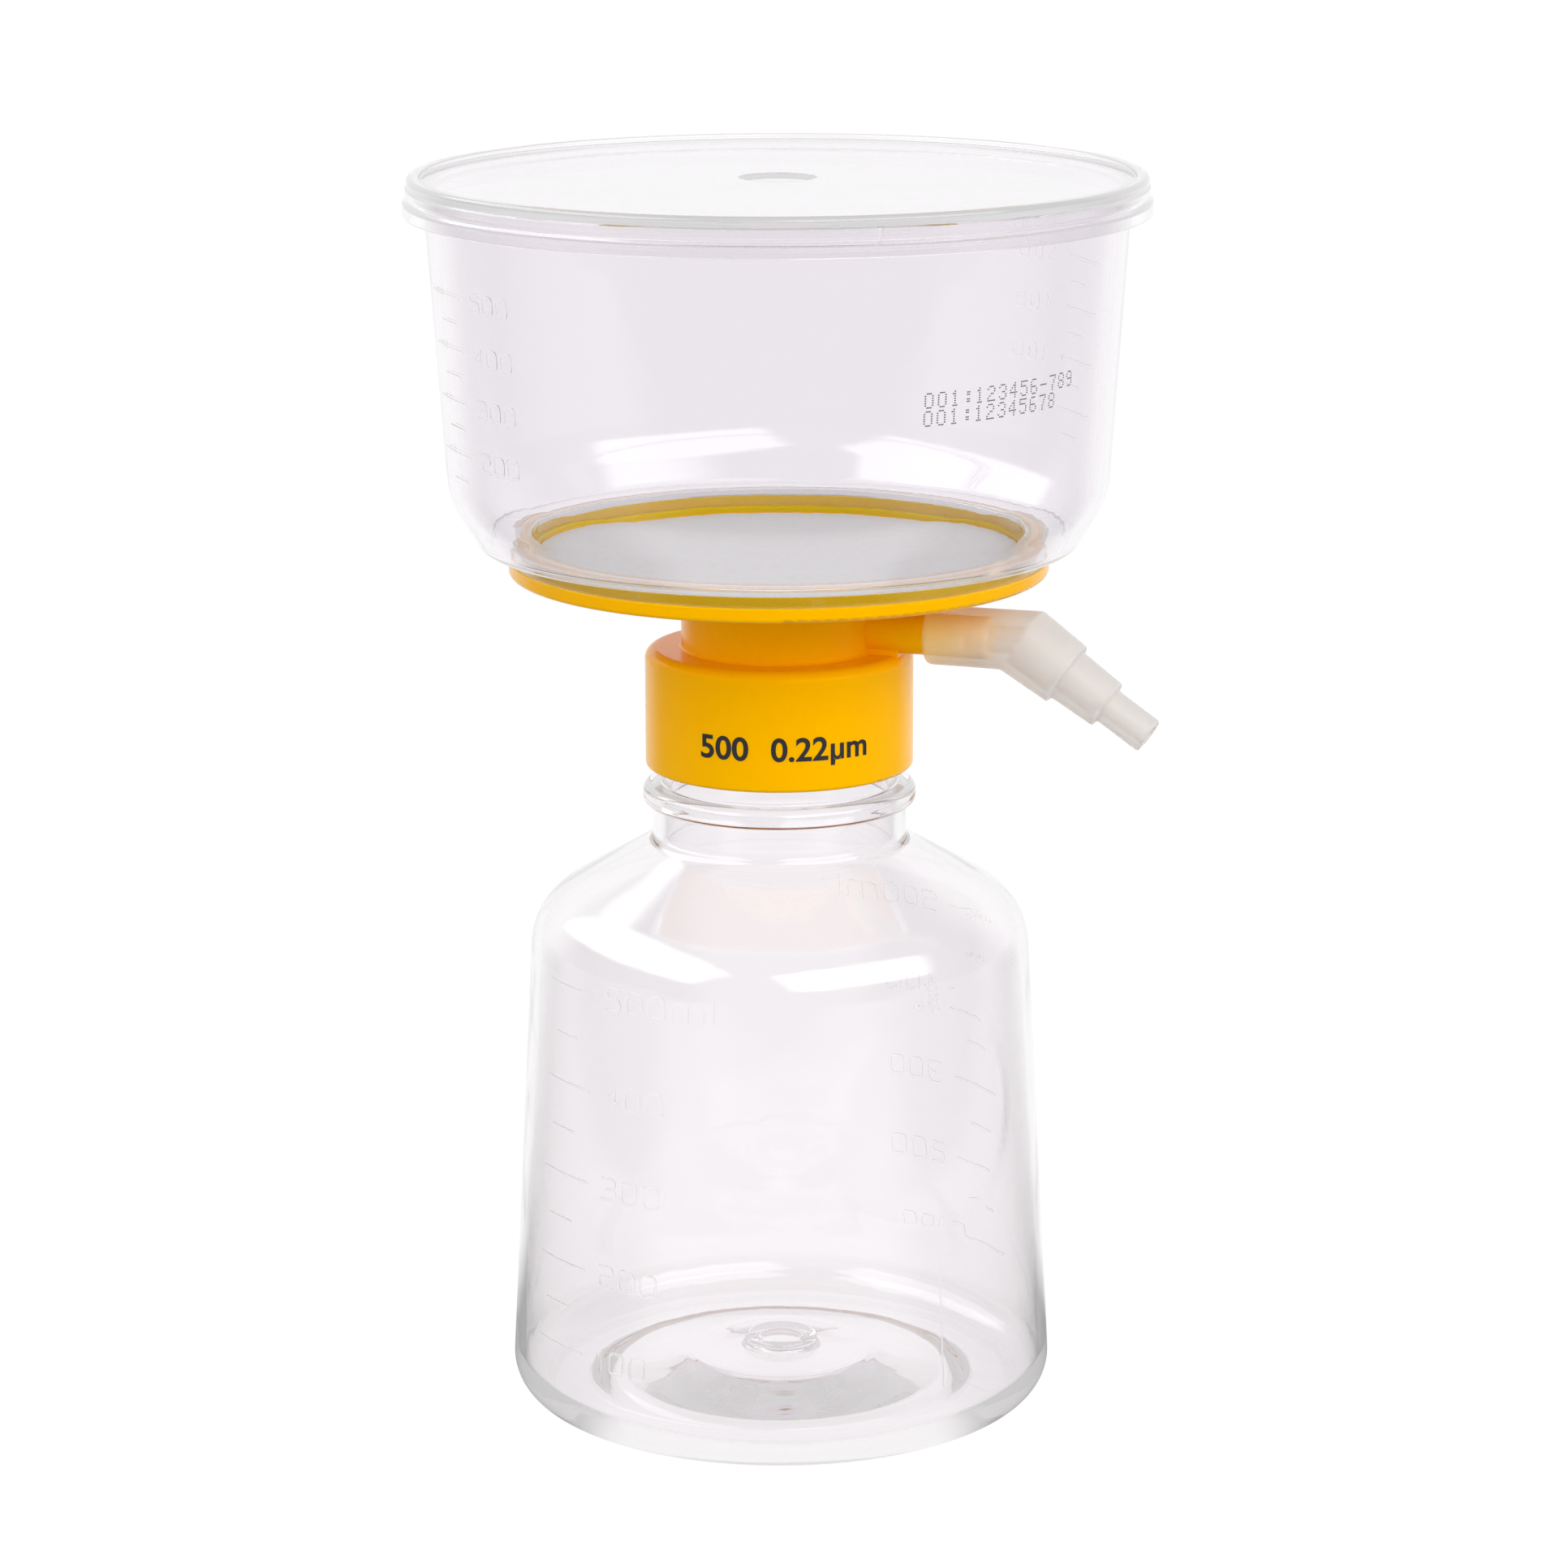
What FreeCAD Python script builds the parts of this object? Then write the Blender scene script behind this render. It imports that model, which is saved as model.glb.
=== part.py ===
# Vacuum filtration unit: a clear receiver bottle, a yellow filter base screwed on its
# neck, a membrane, a clear funnel with a loose lid, and a hose adapter on the side nozzle.
# Millimetres, +Z up, origin on the bottle's axis in the plane it stands on, front at -Y.
import FreeCAD, Part

import math
import os

os.makedirs("parts", exist_ok=True)
vector = FreeCAD.Vector
up = vector(0, 0, 1)

# Small roundings that several pieces share, and how far a cut runs past what it opens
crisp_round = 0.2
edge_round = 0.3
soft_round = 0.5
overrun = 1.0

# Receiver bottle: outside lines of the blown body, before their corners are rounded
bottle_foot_r = 48.7  # wall line carried down to the table
bottle_top_r = 43.9  # wall line where it meets the shoulder line
bottle_wall_height = 89.8  # height where those two lines meet
shoulder_slope = 30.5  # degrees above level
heel_curve = 11.2
shoulder_curve = 12.2
bottle_wall = 1.7
bottle_base_wall = 2.2
standing_ring_r = 34.0  # inner edge of the ring it stands on
punt_rise = 5.2
punt_edge_rise = 2.8
punt_edge_width = 3.5
punt_curve = 4.0
gate_r = 4.3
gate_depth = 2.0

# Bottle neck and its screw finish
neck_r = 22.4
neck_wall = 2.3
neck_plain_height = 6.55
neck_foot_curve = 2.0
neck_inner_curve = 1.5
bead_proud = 1.7
bead_height = 3.4
finish_r = 20.8  # thread root
finish_wall = 1.6
finish_height = 20.8  # bead top to rim

# Screw thread shared by the neck and the collar
thread_pitch = 4.0
thread_turns = 2.0
thread_depth = 1.0
thread_clearance = 0.3
thread_root_share = 0.5  # width at the root, of the pitch
thread_crest_share = 0.2  # width at the crest, of the pitch
thread_start = 4.6  # bead top to the first turn's middle
thread_sink = 0.4  # how deep a ridge is rooted in its wall

# Seal ring between the neck's rim and the collar's top plate
seal_height = 1.5
seal_inner_r = 17.8
seal_side_gap = 0.4

# Filter base, one moulding: collar, column, drip spout, flange and side nozzle
collar_wall = 1.5
collar_plate = 1.9
collar_to_bead = 3.1
collar_shoulder = 2.0
collar_lip_round = 0.9
column_r = 17.2
column_wall = 2.0
column_height = 13.55
spout_r = 6.0
spout_wall = 1.5
spout_drop = 9.0  # below the collar's top plate
drain_plate = 1.3
rib_height = 0.75
rib_width = 1.6
rib_pitch = 5.2
drain_channel_width = 1.6
drain_channels = 6
flange_height = 2.55
flange_lip = 0.3
flange_round = 0.8

# Joint between the filter base and the funnel: a tongue in a groove
seat_depth = 1.6  # membrane's underside to the land
land_width = 1.9
tongue_width = 1.0
tongue_gap = 0.1
skirt_wall = 1.3
skirt_height = 2.75
skirt_slot_angle = 202.0  # middle of the slot in the skirt, degrees from +X
skirt_slot_width = 16.0  # degrees

# Side nozzle and hose adapter
nozzle_angle = -19.0  # degrees from +X
nozzle_r = 3.65
nozzle_bore_r = 2.3
nozzle_reach = 38.5  # tip, from the bottle's axis
nozzle_above_collar = 0.15  # nozzle's underside above the collar's top
nozzle_web_width = 4.6
plug_length = 7.0
plug_recess = 1.0  # behind the nozzle's tip
plug_gap = 0.05
socket_r = 5.2
socket_start = 27.6
elbow_reach = 44.4
leg_slope = 34.0  # degrees below level
leg_steps = [
    # length, radius at its start, radius at its end, bore radius
    (9.8, 6.3, 5.85, 4.6),
    (8.7, 4.8, 4.4, 3.1),
]
tip_length = 9.0
tip_r = 3.2
tip_bore_r = 1.9
shoulder_wall = 1.3  # each bore narrows this far before the outside does
elbow_bore_r = 2.4
swivel_gap = 0.08
socket_end_gap = 0.3  # beyond the nozzle's tip
socket_round = 0.8

# Membrane disc
membrane_r = 42.4
membrane_thickness = 0.4
membrane_gap = 0.2

# Funnel: outside lines of the bowl
bowl_overhang = 5.3  # level underside outside the skirt
bowl_chamfer_run = 5.25
bowl_chamfer_rise = 8.65
bowl_chamfer_curve = 16.0
bowl_floor_curve = 1.5
bowl_height = 62.25
bowl_draft = 3.6  # how much wider the wall is at the rim
bowl_wall = 1.8
bowl_floor = 1.45
rim_proud = 1.4
rim_height = 1.7

# Lid
lid_plate = 1.1
lid_gap = 0.3
lid_skirt_wall = 1.25
lid_skirt_height = 4.75
lid_step = 0.5
lid_step_height = 2.3
lid_ledge = 0.25
lid_ledge_drop = 0.9
lid_crest_height = 0.9
lid_crest_width = 2.5
lid_hole_r = 6.65
lid_gate_angle = 284.8  # degrees from +X
lid_gate_height = 3.0
lid_gate_r = 0.75
lid_gate_end_r = 0.15

# Raised volume marks, on two opposite sides of bottle and funnel; those at even steps are long
mark_step_ml = 50
full_ml = 500
mark_proud = 0.3
mark_height = 0.6
mark_sink = 0.3
bottle_first_ml = 100
bottle_long_mark = (206.4, 223.3)  # degrees from +X
bottle_short_mark = (209.6, 218.2)
funnel_first_ml = 150
funnel_long_mark = (192.7, 207.1)
funnel_short_mark = (198.0, 205.2)
funnel_mark_start = 12.97  # first mark above the bowl's floor
funnel_mark_pitch = 4.53


def tan(degrees):
    return math.tan(math.radians(degrees))


def rounded_outline(corners):
    """A closed wire in the XZ plane through (radius, height, rounding) corners."""
    points = [vector(x, 0, z) for x, z, rounding in corners]
    starts, ends, middles = [], [], []
    for i, (x, z, rounding) in enumerate(corners):
        here, before, after = points[i], points[i - 1], points[(i + 1) % len(points)]
        to_before, to_after = before - here, after - here
        half_angle = to_before.getAngle(to_after) / 2
        reach = 0.0
        if rounding > 0 and half_angle < math.pi / 2 - 1e-6:
            shorter = min(to_before.Length, to_after.Length)
            reach = min(rounding / math.tan(half_angle), 0.49 * shorter)
        start = here + to_before.normalize() * reach
        end = here + to_after.normalize() * reach
        bisector = (to_before + to_after).normalize() if reach else vector(0, 0, 0)
        arc_r = reach * math.tan(half_angle)
        starts.append(start)
        ends.append(end)
        middles.append(here + bisector * (arc_r / math.sin(half_angle) - arc_r) if reach else here)
    edges = []
    for i in range(len(points)):
        if starts[i].distanceToPoint(ends[i]) > 1e-7:
            edges.append(Part.Arc(starts[i], middles[i], ends[i]).toShape())
        following = starts[(i + 1) % len(points)]
        if ends[i].distanceToPoint(following) > 1e-7:
            edges.append(Part.LineSegment(ends[i], following).toShape())
    return Part.Wire(edges)


def turned(corners, from_angle=0.0, sweep=360.0):
    """A solid turned about the Z axis from its half section."""
    section = Part.Face(rounded_outline(corners))
    solid = section.revolve(vector(0, 0, 0), up, sweep)
    solid.rotate(vector(0, 0, 0), up, from_angle)
    return solid


def inset_path(points, walls):
    """Inside corners of a wall: each line of the outside path moved in by its own thickness."""
    lines = []
    for (x0, z0), (x1, z1), wall in zip(points, points[1:], walls):
        length = math.hypot(x1 - x0, z1 - z0)
        along = ((x1 - x0) / length, (z1 - z0) / length)
        lines.append(((x0 - along[1] * wall, z0 + along[0] * wall), along))
    inside = []
    for ((ax, az), (ux, uz)), ((bx, bz), (vx, vz)) in zip(lines, lines[1:]):
        t = ((bx - ax) * vz - (bz - az) * vx) / (ux * vz - uz * vx)
        inside.append((ax + ux * t, az + uz * t))
    return inside


def thread_ridge(root_r, crest_r, first_z, start_angle):
    """A right-handed trapezoid ridge rooted in the wall at root_r."""
    outwards = 1 if crest_r > root_r else -1
    deep_r = root_r - outwards * thread_sink
    root_half = thread_pitch * thread_root_share / 2
    crest_half = thread_pitch * thread_crest_share / 2
    corners = [
        vector(deep_r, 0, -root_half),
        vector(crest_r, 0, -crest_half),
        vector(crest_r, 0, crest_half),
        vector(deep_r, 0, root_half),
    ]
    section = Part.makePolygon(corners + corners[:1])
    spine = Part.Wire(Part.makeHelix(thread_pitch, thread_pitch * thread_turns, root_r).Edges)
    ridge = spine.makePipeShell([section], True, True)
    ridge.rotate(vector(0, 0, 0), up, start_angle)
    ridge.translate(vector(0, 0, first_z))
    return ridge


def raised_mark(wall_r_at, z, angles):
    """A low ridge on a tapered wall, between two angles."""
    low, high = z - mark_height / 2, z + mark_height / 2
    corners = [
        (wall_r_at(low) - mark_sink, low, 0),
        (wall_r_at(low) + mark_proud, low, 0),
        (wall_r_at(high) + mark_proud, high, 0),
        (wall_r_at(high) - mark_sink, high, 0),
    ]
    return turned(corners, angles[0], angles[1] - angles[0])


def is_long_mark(ml):
    return round(ml / mark_step_ml) % 2 == 0


def bottle_marks():
    """Height of the surface as the bottle fills, at each marked volume, with the mark's two angles."""
    slice_height = 0.05
    marks = []
    next_ml = bottle_first_ml
    filled_ml = 0.0
    z = bottle_base_wall
    while next_ml <= full_ml and z < bottle_wall_height - shoulder_curve / 2:
        filled_ml += math.pi * (bottle_wall_r(z) - bottle_wall) ** 2 * slice_height / 1000
        z += slice_height
        if filled_ml >= next_ml:
            marks.append((z, bottle_long_mark if is_long_mark(next_ml) else bottle_short_mark))
            next_ml += mark_step_ml
    return marks


def funnel_marks():
    """Evenly spaced heights, up to the full volume or the rim, with each mark's two angles."""
    marks = []
    next_ml = funnel_first_ml
    z = bowl_floor_z + funnel_mark_start
    while next_ml <= full_ml and z < bowl_rim_z - 2 * rim_height:
        marks.append((z, funnel_long_mark if is_long_mark(next_ml) else funnel_short_mark))
        z += funnel_mark_pitch
        next_ml += mark_step_ml
    return marks


def add_marks(vessel, marks, wall_r_at):
    ridges = []
    for z, angles in marks:
        for side in (0, 180):
            ridges.append(raised_mark(wall_r_at, z, (angles[0] + side, angles[1] + side)))
    return vessel.fuse(ridges) if ridges else vessel


def along_nozzle(distance, z):
    angle = math.radians(nozzle_angle)
    return vector(distance * math.cos(angle), distance * math.sin(angle), z)


def export(name, shape):
    shape.removeSplitter().exportStep(f"parts/{name}.step")
    print(f"{name}: {shape.Volume / 1000:.2f} cm3, {len(shape.Solids)} solid, valid {shape.isValid()}")


# Levels up the axis
neck_foot_z = bottle_wall_height + (bottle_top_r - neck_r) * tan(shoulder_slope)
bead_z = neck_foot_z + neck_plain_height
finish_z = bead_z + bead_height
rim_z = finish_z + finish_height
plate_z = rim_z + seal_height
collar_top_z = plate_z + collar_plate
collar_bottom_z = finish_z + collar_to_bead
flange_z = collar_top_z + column_height
drain_z = flange_z + drain_plate
membrane_z = drain_z + rib_height
flange_top_z = flange_z + flange_height
land_z = membrane_z + seat_depth
bowl_under_z = flange_top_z + skirt_height
bowl_floor_z = bowl_under_z + bowl_floor
tongue_top_z = bowl_under_z + tongue_gap
bowl_rim_z = bowl_under_z + bowl_height
lid_top_z = bowl_rim_z + lid_plate
nozzle_z = collar_top_z + nozzle_above_collar + nozzle_r

# Radii that follow from the fits
collar_bore_r = finish_r + thread_depth + thread_clearance
collar_r = collar_bore_r + collar_wall
column_bore_r = column_r - column_wall
seat_r = membrane_r + membrane_gap
tongue_inner_r = seat_r + land_width
tongue_outer_r = tongue_inner_r + tongue_width
skirt_r = tongue_outer_r + tongue_gap + skirt_wall
flange_r = skirt_r + flange_lip
bowl_foot_r = skirt_r + bowl_overhang + bowl_chamfer_run
bowl_top_r = bowl_foot_r + bowl_draft
rim_r = bowl_top_r + rim_proud
lid_bore_r = rim_r + lid_gap


def bottle_wall_r(z):
    return bottle_foot_r - (bottle_foot_r - bottle_top_r) * z / bottle_wall_height


def bowl_wall_r(z):
    above_foot = z - bowl_under_z - bowl_chamfer_rise
    return bowl_foot_r + bowl_draft * above_foot / (bowl_height - bowl_chamfer_rise)


def make_receiver_bottle():
    punt_edge_r = standing_ring_r - punt_edge_width
    outside = [
        (0, punt_rise + gate_depth),
        (gate_r, punt_rise + gate_depth),
        (gate_r, punt_rise),
        (punt_edge_r, punt_edge_rise),
        (standing_ring_r, 0),
        (bottle_foot_r, 0),
        (bottle_top_r, bottle_wall_height),
        (neck_r, neck_foot_z),
        (neck_r, bead_z),
    ]
    walls = [bottle_base_wall] * 5 + [bottle_wall, bottle_wall, neck_wall]
    roundings = [
        0,
        soft_round,
        soft_round,
        punt_curve,
        punt_curve / 2,
        heel_curve,
        shoulder_curve,
        neck_foot_curve,
    ]
    inside = inset_path(outside, walls)
    inner_roundings = [
        soft_round,
        soft_round,
        punt_curve,
        punt_curve / 2,
        heel_curve - bottle_wall,
        shoulder_curve - bottle_wall,
        neck_foot_curve + bottle_wall,
    ]
    finish_bore_r = finish_r - finish_wall
    bead_round = 0.45 * bead_height
    corners = [(x, z, rounding) for (x, z), rounding in zip(outside, roundings)]
    corners += [
        (neck_r, bead_z, edge_round),
        (neck_r + bead_proud, bead_z, bead_round),
        (neck_r + bead_proud, finish_z, bead_round),
        (finish_r, finish_z, soft_round),
        (finish_r, rim_z, soft_round),
        (finish_bore_r, rim_z, soft_round),
        (finish_bore_r, finish_z, neck_inner_curve),
        (neck_r - neck_wall, bead_z, neck_inner_curve),
    ]
    corners += [(x, z, rounding) for (x, z), rounding in zip(inside, inner_roundings)][::-1]
    corners.append((0, punt_rise + gate_depth + bottle_base_wall, 0))
    bottle = turned(corners)
    ridge = thread_ridge(finish_r, finish_r + thread_depth, finish_z + thread_start, 0)
    bottle = bottle.fuse(ridge)
    return add_marks(bottle, bottle_marks(), bottle_wall_r)


def make_neck_gasket():
    outer_r = collar_bore_r - seal_side_gap
    return turned(
        [(seal_inner_r, rim_z, 0), (outer_r, rim_z, 0), (outer_r, plate_z, 0), (seal_inner_r, plate_z, 0)]
    )


def drain_rib_corners():
    """Section of the rings that hold the membrane off the drain plate, from the seat inwards."""
    corners = [
        (seat_r, membrane_z, 0),
        (seat_r - rib_width, membrane_z, 0),
        (seat_r - rib_width, drain_z, 0),
    ]
    ring_r = seat_r - rib_pitch
    while ring_r - rib_width > spout_r:
        corners += [
            (ring_r, drain_z, 0),
            (ring_r, membrane_z, 0),
            (ring_r - rib_width, membrane_z, 0),
            (ring_r - rib_width, drain_z, 0),
        ]
        ring_r -= rib_pitch
    return corners


def make_filter_base():
    spout_bore_r = spout_r - spout_wall
    spout_end_z = plate_z - spout_drop
    corners = [
        (spout_bore_r, drain_z, soft_round),
        (spout_bore_r, spout_end_z, 0),
        (spout_r, spout_end_z, edge_round),
        (spout_r, flange_z, soft_round),
        (column_bore_r, flange_z, soft_round),
        (column_bore_r, plate_z, 0),
        (collar_bore_r, plate_z, 0),
        (collar_bore_r, collar_bottom_z, edge_round),
        (collar_r, collar_bottom_z, collar_lip_round),
        (collar_r, collar_top_z, collar_shoulder),
        (column_r, collar_top_z, soft_round),
        (column_r, flange_z, flange_round),
        (flange_r, flange_z, flange_round),
        (flange_r, flange_top_z, edge_round),
        (tongue_outer_r, flange_top_z, 0),
        (tongue_outer_r, tongue_top_z, crisp_round),
        (tongue_inner_r, tongue_top_z, crisp_round),
        (tongue_inner_r, land_z, 0),
        (seat_r, land_z, edge_round),
    ]
    base = turned(corners + drain_rib_corners())
    channel_r = seat_r - rib_width
    for number in range(drain_channels):
        channel = Part.makeBox(
            channel_r, drain_channel_width, rib_height, vector(0, -drain_channel_width / 2, drain_z)
        )
        channel.rotate(vector(0, 0, 0), up, 360 * number / drain_channels)
        base = base.cut(channel)
    direction = along_nozzle(1, 0)
    inner_end = column_r - column_wall / 2
    nozzle = Part.makeCylinder(
        nozzle_r, nozzle_reach - inner_end, along_nozzle(inner_end, nozzle_z), direction
    )
    web_depth = collar_plate / 2 + nozzle_above_collar + nozzle_r
    web_end = collar_r - collar_shoulder / 2
    web = Part.makeBox(web_end - inner_end, nozzle_web_width, web_depth)
    web.translate(vector(inner_end, -nozzle_web_width / 2, nozzle_z - web_depth))
    web.rotate(vector(0, 0, 0), up, nozzle_angle)
    bore_start = (column_bore_r + spout_r) / 2
    bore = Part.makeCylinder(
        nozzle_bore_r,
        nozzle_reach + overrun - bore_start,
        along_nozzle(bore_start, nozzle_z),
        direction,
    )
    first_z = finish_z + thread_start + thread_pitch / 2
    ridge = thread_ridge(collar_bore_r, collar_bore_r - thread_depth, first_z, 0)
    return base.fuse([nozzle, web, ridge]).cut(bore)


def make_vent_plug():
    start = nozzle_reach - plug_recess - plug_length
    return Part.makeCylinder(
        nozzle_bore_r - plug_gap, plug_length, along_nozzle(start, nozzle_z), along_nozzle(1, 0)
    )


def make_membrane():
    return Part.makeCylinder(membrane_r, membrane_thickness, vector(0, 0, membrane_z))


def make_funnel():
    foot_z = bowl_under_z + bowl_chamfer_rise
    outside = [
        (skirt_r, bowl_under_z),
        (skirt_r + bowl_overhang, bowl_under_z),
        (bowl_foot_r, foot_z),
        (bowl_top_r, bowl_rim_z),
    ]
    floor_corner, wall_corner = inset_path(outside, [bowl_floor, bowl_wall, bowl_wall])
    groove_inner_r = tongue_inner_r - tongue_gap
    groove_outer_r = tongue_outer_r + tongue_gap
    groove_top_z = tongue_top_z + tongue_gap
    ring_bore_r = seat_r + 0.4 * land_width
    corners = [
        (ring_bore_r, land_z, 0),
        (groove_inner_r, land_z, 0),
        (groove_inner_r, groove_top_z, 0),
        (groove_outer_r, groove_top_z, 0),
        (groove_outer_r, flange_top_z, 0),
        (skirt_r, flange_top_z, crisp_round),
        (skirt_r, bowl_under_z, soft_round),
        (skirt_r + bowl_overhang, bowl_under_z, bowl_floor_curve),
        (bowl_foot_r, foot_z, bowl_chamfer_curve),
        (bowl_wall_r(bowl_rim_z - rim_height), bowl_rim_z - rim_height, soft_round),
        (rim_r, bowl_rim_z - rim_height, edge_round),
        (rim_r, bowl_rim_z, edge_round),
        (bowl_top_r - bowl_wall, bowl_rim_z, soft_round),
        (wall_corner[0], wall_corner[1], bowl_chamfer_curve - bowl_wall),
        (floor_corner[0], floor_corner[1], bowl_floor_curve),
        (ring_bore_r, bowl_floor_z, edge_round),
    ]
    funnel = turned(corners)
    slot_inner_r = groove_outer_r - 2 * tongue_gap
    slot = turned(
        [
            (slot_inner_r, flange_top_z - overrun, 0),
            (skirt_r + overrun, flange_top_z - overrun, 0),
            (skirt_r + overrun, bowl_under_z, 0),
            (slot_inner_r, bowl_under_z, 0),
        ],
        skirt_slot_angle - skirt_slot_width / 2,
        skirt_slot_width,
    )
    funnel = funnel.cut(slot)
    return add_marks(funnel, funnel_marks(), bowl_wall_r)


def make_lid():
    skirt_top_z = lid_top_z - lid_ledge_drop
    step_z = bowl_rim_z - lid_skirt_height + lid_step_height
    bottom_z = bowl_rim_z - lid_skirt_height
    wall_r = lid_bore_r + lid_skirt_wall
    crest_z = lid_top_z + lid_crest_height
    corners = [
        (lid_hole_r, bowl_rim_z, crisp_round),
        (lid_bore_r, bowl_rim_z, edge_round),
        (lid_bore_r, step_z, 0),
        (lid_bore_r + lid_step, step_z - lid_step, 0),
        (lid_bore_r + lid_step, bottom_z, crisp_round),
        (wall_r + lid_step, bottom_z, edge_round),
        (wall_r + lid_step, step_z, crisp_round),
        (wall_r, step_z + lid_step, edge_round),
        (wall_r, skirt_top_z - lid_ledge, 0),
        (wall_r - lid_ledge, skirt_top_z, 0),
        (wall_r - lid_ledge, crest_z, lid_crest_height),
        (wall_r - lid_crest_width, crest_z, soft_round),
        (wall_r - lid_crest_width, lid_top_z, edge_round),
        (lid_hole_r, lid_top_z, crisp_round),
    ]
    lid = turned(corners)
    gate = Part.makeCone(lid_gate_end_r, lid_gate_r, lid_gate_height)
    gate.translate(vector(wall_r, 0, skirt_top_z - lid_gate_height))
    gate.rotate(vector(0, 0, 0), up, lid_gate_angle)
    return lid.cut(gate)


def make_hose_adapter():
    """Modelled along +X from the bottle's axis with its leg sloping down, then turned to the nozzle."""
    elbow = vector(elbow_reach, 0, 0)
    slope = math.radians(leg_slope)
    down_leg = vector(math.cos(slope), 0, -math.sin(slope))
    first_length, first_r = leg_steps[0][:2]
    loft_start = elbow_reach - 1.4 * first_r
    socket = Part.makeCylinder(
        socket_r, loft_start - socket_start, vector(socket_start, 0, 0), vector(1, 0, 0)
    )
    free_rim = min(socket.Edges, key=lambda edge: edge.CenterOfMass.x)
    socket = socket.makeFillet(socket_round, [free_rim])
    bend_start = Part.Wire(Part.makeCircle(socket_r, vector(loft_start, 0, 0), vector(1, 0, 0)))
    bend_end = Part.Wire(Part.makeCircle(first_r, elbow, down_leg))
    bend = Part.makeLoft([bend_start, bend_end], True, True)
    outside = socket.fuse(bend)
    elbow_ball = Part.makeSphere(elbow_bore_r, elbow)
    passage_start = nozzle_reach - overrun
    passage = Part.makeCylinder(
        elbow_bore_r, elbow_reach - passage_start, vector(passage_start, 0, 0), vector(1, 0, 0)
    )
    inside = passage.fuse(elbow_ball)
    start = elbow
    bore_from = elbow
    for length, start_r, end_r, bore_r in leg_steps:
        outside = outside.fuse(Part.makeCone(start_r, end_r, length, start, down_leg))
        start = start + down_leg * length
        bore_to = start - down_leg * shoulder_wall
        bore_length = (bore_to - bore_from).Length
        inside = inside.fuse(Part.makeCylinder(bore_r, bore_length, bore_from, down_leg))
        bore_from = bore_to
    tip = Part.makeCylinder(tip_r, tip_length, start, down_leg)
    tip_rim = max(tip.Edges, key=lambda edge: edge.CenterOfMass.dot(down_leg))
    outside = outside.fuse(tip.makeFillet(edge_round, [tip_rim]))
    root = Part.makeCone(tip_r + edge_round, tip_r, edge_round, start, down_leg)
    outside = outside.fuse(root)
    inside = inside.fuse(
        Part.makeCylinder(tip_bore_r, tip_length + shoulder_wall, bore_from, down_leg)
    )
    bore_start = socket_start - overrun
    socket_bore = Part.makeCylinder(
        nozzle_r + swivel_gap,
        nozzle_reach + socket_end_gap - bore_start,
        vector(bore_start, 0, 0),
        vector(1, 0, 0),
    )
    adapter = outside.cut(inside).cut(socket_bore)
    adapter.rotate(vector(0, 0, 0), up, nozzle_angle)
    adapter.translate(vector(0, 0, nozzle_z))
    return adapter


export("receiver_bottle", make_receiver_bottle())
export("neck_gasket", make_neck_gasket())
export("filter_base", make_filter_base())
export("vent_plug", make_vent_plug())
export("membrane", make_membrane())
export("funnel", make_funnel())
export("lid", make_lid())
export("hose_adapter", make_hose_adapter())
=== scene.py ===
import math

import bpy
from mathutils import Matrix, Vector


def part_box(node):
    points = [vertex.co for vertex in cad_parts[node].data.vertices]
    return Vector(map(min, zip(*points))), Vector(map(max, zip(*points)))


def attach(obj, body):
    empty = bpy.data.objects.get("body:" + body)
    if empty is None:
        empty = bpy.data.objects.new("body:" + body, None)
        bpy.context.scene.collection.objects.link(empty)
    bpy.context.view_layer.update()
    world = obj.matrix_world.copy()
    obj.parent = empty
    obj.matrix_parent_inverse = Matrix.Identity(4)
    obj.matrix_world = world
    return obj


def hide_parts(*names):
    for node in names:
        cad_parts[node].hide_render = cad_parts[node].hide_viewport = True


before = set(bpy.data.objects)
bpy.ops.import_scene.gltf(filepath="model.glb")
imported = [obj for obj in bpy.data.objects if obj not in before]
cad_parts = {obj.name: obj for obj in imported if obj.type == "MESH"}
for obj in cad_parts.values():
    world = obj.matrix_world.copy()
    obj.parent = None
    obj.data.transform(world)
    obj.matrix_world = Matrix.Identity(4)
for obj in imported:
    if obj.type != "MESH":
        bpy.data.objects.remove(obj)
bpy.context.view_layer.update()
mm = 0.001
print("frame loaded")


def point(radius, degrees, height):
    # millimetres and degrees round the axis, as a place in metres
    angle = math.radians(degrees)
    return Vector((radius * math.cos(angle), radius * math.sin(angle), height)) * mm


def heights(node):
    # lowest and highest level of a CAD node, in millimetres
    low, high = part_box(node)
    return low[2] / mm, high[2] / mm


# ---- shader nodes in few words
def addNode(tree, kind, settings=None, inputs=None):
    node = tree.nodes.new(kind)
    for name, value in (settings or {}).items():
        setattr(node, name, value)
    for name, value in (inputs or {}).items():
        feed(tree, node.inputs[name], value)
    return node


def feed(tree, socket, value):
    # a socket takes a fixed value or another node's output
    if isinstance(value, bpy.types.NodeSocket):
        tree.links.new(value, socket)
    else:
        socket.default_value = value


def calc(tree, operation, one, other=0.0):
    node = addNode(tree, "ShaderNodeMath", {"operation": operation}, {0: one, 1: other})
    return node.outputs[0]


def choose(tree, factor, value, otherValue):
    inputs = {"Factor": factor, "A": value, "B": otherValue}
    return addNode(tree, "ShaderNodeMix", None, inputs).outputs["Result"]


def fade(tree, value, start, end, low=0.0, high=1.0):
    # smooth change from low to high while the value goes from start to end
    inputs = {"Value": value, "From Min": start, "From Max": end, "To Min": low, "To Max": high}
    return addNode(
        tree, "ShaderNodeMapRange", {"interpolation_type": "SMOOTHSTEP"}, inputs
    ).outputs["Result"]


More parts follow.
